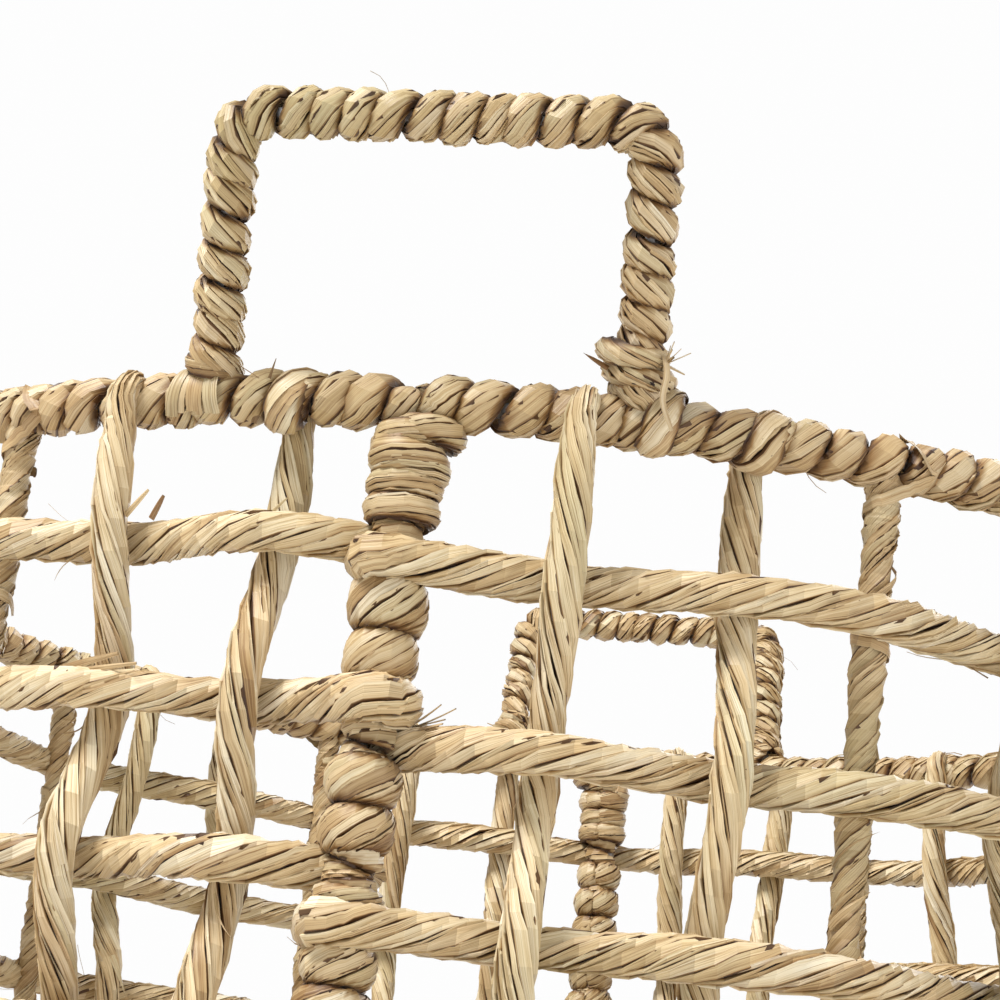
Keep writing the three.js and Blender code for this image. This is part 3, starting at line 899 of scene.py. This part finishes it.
def make_right_knot(name, turn, frame_matrix, material, rng):
    """A thick knot: two turns round the handle's right foot and one over the rim, with a tuft
    and a hanging strip."""
    right = Leaf()
    foot_angle = turn + FOOT_ANGLE
    theta = np.linspace(-0.6 * math.pi, 3.7 * math.pi, 34)
    height = np.linspace(18.5, 7.0, 34) * MM
    x = HANDLE_HALF_WIDTH + 5.6 * MM * np.sin(theta) - np.linspace(2.4, -1.0, 34) * MM
    knot = np.stack([x, -5.6 * MM * np.cos(theta), height], -1)
    leg = (carried([HANDLE_HALF_WIDTH, 0, 0], frame_matrix), frame_matrix[:3, 2])
    short_rope(right, carried(knot, frame_matrix), leg, 3.1 * MM, 3.4 * MM, rng, 11, -190)
    over = round_rim(foot_angle + 1.3, np.linspace(140, -95, 9), [7.2 * MM] * 9, -5 * MM)
    short_rope(right, over, rim_line(foot_angle), 4.6 * MM, 2.4 * MM, rng, 12)
    tuft = np.array([HANDLE_HALF_WIDTH + 6.5 * MM, -4 * MM, 15 * MM])
    for _ in range(9):
        way = unit(rng.normal([0.6, -0.2, 0.4], 0.5)) * rng.uniform(3, 7) * MM
        points = carried(tuft + np.linspace(-0.3, 1, 5)[:, None] * way, frame_matrix)
        width = rng.uniform(0.5, 1.3) * MM
        right.blade(points, points - frame_matrix[:3, 3], width, rng, 0.5, 0.5)
    hanging = tuft + np.array([[0, 0, 2], [1, -3, -2], [0.5, -5.5, -8], [3, -6, -15]]) * MM
    points = smooth_curve(carried(hanging, frame_matrix), 1.5 * MM)
    outward = points - on_wall(foot_angle, WALL_RADIUS, RIM_HEIGHT)
    right.blade(points, outward, 1.8 * MM, rng, 0.5, 0.6)
    spike = [HANDLE_HALF_WIDTH, 0, 0] + np.linspace([-7, -5, 13.5], [-13, -5.5, 17], 4) * MM
    right.blade(carried(spike, frame_matrix), np.array([0, -1, 0.2]), 1.4 * MM, rng, 0.1)
    node = f"foot_knot_right_{name}"
    right.build(f"leaf_knot_right_{name}", material, [node])


def make_left_knot(name, turn, frame_matrix, material, rng):
    """A flat band round the handle's left foot, with its strips spread over the rim below."""
    left = Leaf()
    foot = np.array([-HANDLE_HALF_WIDTH, 0, 0])
    ring = np.radians(np.linspace(-150, 200, 16))[:, None]
    ring = np.hstack([np.sin(ring) * 5.9, -np.cos(ring) * 5.9, 8.4 - 0.7 * np.sin(ring)]) * MM
    leg = (carried(foot, frame_matrix), frame_matrix[:3, 2])
    short_rope(left, carried(foot + ring, frame_matrix), leg, 2.3 * MM, 1.1 * MM, rng, 9, 25)
    for number in range(8):
        top = -5.0 + 1.1 * number
        bottom = -8.0 + 1.8 * number + rng.normal(0, 0.4)
        angle = turn - FOOT_ANGLE + math.degrees((top + bottom) / 2 * MM / WALL_RADIUS)
        turns = np.linspace(80, -35 - rng.uniform(0, 14), 6)
        reaches = rng.uniform(8.0, 8.5) * MM * np.linspace(0.96, 1, 6)
        over = round_rim(angle, turns, reaches, (bottom - top) * MM)
        points = smooth_curve(over, COIL_STEP)
        left.blade(points, away_from(points, rim_line(angle)), 2.3 * MM, rng, 0.5, 0.9)
    for base, tip, width in (((13, -8, -4), (18, -6, 12), 1.6), ((14, -7, 7), (2, -4, 13), 0.25)):
        spike = np.linspace(np.array(base), np.array(tip), 5) * MM + foot
        left.blade(carried(spike, frame_matrix), np.array([0, -1, 0.2]), width * MM, rng, 0.1)
    node = f"foot_knot_left_{name}"
    left.build(f"leaf_knot_left_{name}", material, [node])


def rib_bays(front):
    """The stretches of a rib between the rows that cross it, from the rim down. The two ends
    of each row lie one above the other on the front rib."""
    bays = []
    clear = 0.8 * ROPE_RADIUS
    top = RIM_HEIGHT - RIM_WRAP_RADIUS
    for row in range(1, ROWS + 1):
        high, low = (RIM_HEIGHT - row_drop(row, s) for s in ((1, 0) if front else (0.5, 0.5)))
        bays.append((top, high + clear))
        if high - low > 12 * MM:
            bays.append((high - clear, low + clear))
        top = low - clear
    bays.append((top, BASE_HOOP_HEIGHT + BASE_WRAP_RADIUS))
    return bays


def make_rib(leaf, angle, front, rng):
    """A thick rib: lobes of rope stacked on a winding, drawn in where rows cross it, and a knot
    of two turns below the rim."""
    bays = rib_bays(front)
    heights = np.linspace(bays[-1][1], bays[0][0], 160)
    middle = on_wall(leaning(angle, heights), WALL_RADIUS, heights)
    bound_bar(leaf, middle, RIB_CORE_RADIUS, RIB_CORE_PITCH, rng, 7, RIB_CORE_LAY, 2.6 * MM)
    for number, (top, bottom) in enumerate(bays):
        size = RIB_TOP_LOBE if number == 0 else RIB_LOBE
        count = max(1, round((top - bottom) / size))
        pitch = (top - bottom) / count
        for lobe in range(count):
            height = bottom + (lobe + 0.5) * pitch + rng.normal(0, 0.3 * MM)
            slope = rng.uniform(-1.2, 2.4) * MM
            bulge = rng.uniform(3.4, 4.2) * MM if number else 2.2 * MM
            lay = rng.uniform(20, 90) if number == 0 else rng.uniform(120, 270)
            middle = leaning(angle, height)
            reach = RIB_RADIUS + rng.normal(0, 0.4 * MM) - bulge
            around = collar(middle, reach, height, slope, -200, 190)
            short_rope(leaf, around, upright_line(middle), 0.54 * pitch, bulge, rng, 14, lay)
    top_angle = leaning(angle, RIM_HEIGHT)
    first = collar(top_angle, 6.6 * MM, RIM_HEIGHT - 15 * MM, 7 * MM, -150, 150)
    short_rope(leaf, first, upright_line(top_angle), 5.2 * MM, 3.8 * MM, rng, 14, 70)
    second = collar(top_angle + 1.0, 6.0 * MM, RIM_HEIGHT - 8 * MM, 1 * MM, -90, 170)
    short_rope(leaf, second, upright_line(top_angle + 1.0), 3.6 * MM, 3.4 * MM, rng, 12, 120)


def make_thin_upright(leaf, angle, rng):
    """A thin upright: wide flat strips wound round a stick, tied to the rim and below rows."""
    heights = np.linspace(BASE_HOOP_HEIGHT, RIM_HEIGHT - 1 * MM, 160)
    path = Path(on_wall(leaning(angle, heights), WALL_RADIUS, heights))
    radius = UPRIGHT_RADIUS * (1 + wander(rng, path.s, 0.04, 0.12))
    strips = UPRIGHT_STRIPS
    leaf.strands(path, radius, radius, strips, UPRIGHT_LAY, rng, UPRIGHT_FACET, 0.5, 0.96)
    leaf.loose_ends(path, UPRIGHT_RADIUS, UPRIGHT_LAY, rng, 6)
    top = leaning(angle, RIM_HEIGHT)
    over = round_rim(top + 1.5, np.linspace(70, -30, 6), [6.6 * MM] * 6, 8 * MM)
    ring = collar(top, 4.7 * MM, RIM_HEIGHT - 13 * MM, 5 * MM, -20, -220)
    tie(leaf, np.vstack([over, ring]), upright_line(top), 3.4 * MM, rng, 0.45)
    for row in (1, 3, 6):
        height = RIM_HEIGHT - row_drop(row, 0.5) - rng.uniform(8, 11) * MM
        middle = leaning(angle, height)
        ring = collar(middle, 4.8 * MM, height, 5 * MM, -160, 110)
        tail = ring[-1] + (ring[-1] - ring[-2]) + on_wall(middle, 1 * MM, -3 * MM)
        width = rng.uniform(3, 4.5) * MM
        tie(leaf, np.vstack([ring, tail]), upright_line(middle), width, rng, 0.45)


def make_uprights(material):
    """The two ribs and the ten thin uprights."""
    for number, angle in enumerate(UPRIGHT_ANGLES):
        leaf = Leaf()
        rng = np.random.default_rng(300 + number)
        if number in RIBS:
            name = "rib_winding_front" if number == 0 else "rib_winding_back"
            make_rib(leaf, angle, number == 0, rng)
        else:
            name = f"upright_{number:02d}"
            make_thin_upright(leaf, angle, rng)
        leaf.build(f"leaf_{name}", material, [name])


# Stage, light and camera -------------------------------------------------------------------

def make_stage():
    """A floor wide enough to meet the white all round."""
    bpy.ops.mesh.primitive_plane_add(size=FLOOR_SIZE)
    floor = bpy.context.object
    floor.name = "floor"
    floor.data.materials.append(pale_floor())


def make_world():
    """White all round for the camera, and a softer white for what it lights."""
    world = bpy.data.worlds.new("studio")
    bpy.context.scene.world = world
    world.use_nodes = True
    n = world.node_tree
    n.nodes.clear()
    light = n.nodes.new("ShaderNodeBackground")
    light.inputs["Strength"].default_value = STUDIO_LIGHT
    seen = n.nodes.new("ShaderNodeBackground")
    seen.inputs["Color"].default_value = (1, 1, 1, 1)
    seen.inputs["Strength"].default_value = STUDIO_WHITE
    ray = n.nodes.new("ShaderNodeLightPath")
    mix = n.nodes.new("ShaderNodeMixShader")
    output = n.nodes.new("ShaderNodeOutputWorld")
    n.links.new(ray.outputs["Is Camera Ray"], mix.inputs[0])
    n.links.new(light.outputs[0], mix.inputs[1])
    n.links.new(seen.outputs[0], mix.inputs[2])
    n.links.new(mix.outputs[0], output.inputs[0])


def add_softbox(name, place, size, power):
    """A square area light, aimed at the basket."""
    data = bpy.data.lights.new(name, "AREA")
    data.size = size
    data.energy = power
    light = bpy.data.objects.new(name, data)
    light.location = place
    aim = Vector(LIT_POINT) - Vector(place)
    light.rotation_euler = aim.to_track_quat("-Z", "Y").to_euler()
    bpy.context.scene.collection.objects.link(light)


def make_camera():
    """The camera, at the place and the angles given above."""
    data = bpy.data.cameras.new("camera")
    data.lens = CAMERA_LENS
    data.sensor_width = 36
    camera = bpy.data.objects.new("camera", data)
    pitch = Euler((math.radians(90 + CAMERA_PITCH), 0, math.radians(CAMERA_TURN))).to_matrix()
    roll = Matrix.Rotation(math.radians(CAMERA_ROLL), 3, "Z")
    camera.matrix_world = Matrix.Translation(CAMERA_PLACE) @ (pitch @ roll).to_4x4()
    bpy.context.scene.collection.objects.link(camera)
    bpy.context.scene.camera = camera


make_camera()
make_stage()
make_world()
for name, softbox in SOFTBOXES.items():
    add_softbox(name, *softbox)
bpy.context.scene.view_settings.view_transform = "Standard"

rope = seagrass("seagrass_rope", (1.0, 1.015, 1.02))
binding = seagrass("seagrass_binding", (0.89, 0.87, 0.83))
wire = drawn_wire()
make_rows(rope)
make_grid(rope)
make_hoops(binding)
make_uprights(binding)
make_handles(binding)
for name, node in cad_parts.items():
    if "hoop" in name or "wire" in name:
        node.data.materials.clear()
        node.data.materials.append(wire)

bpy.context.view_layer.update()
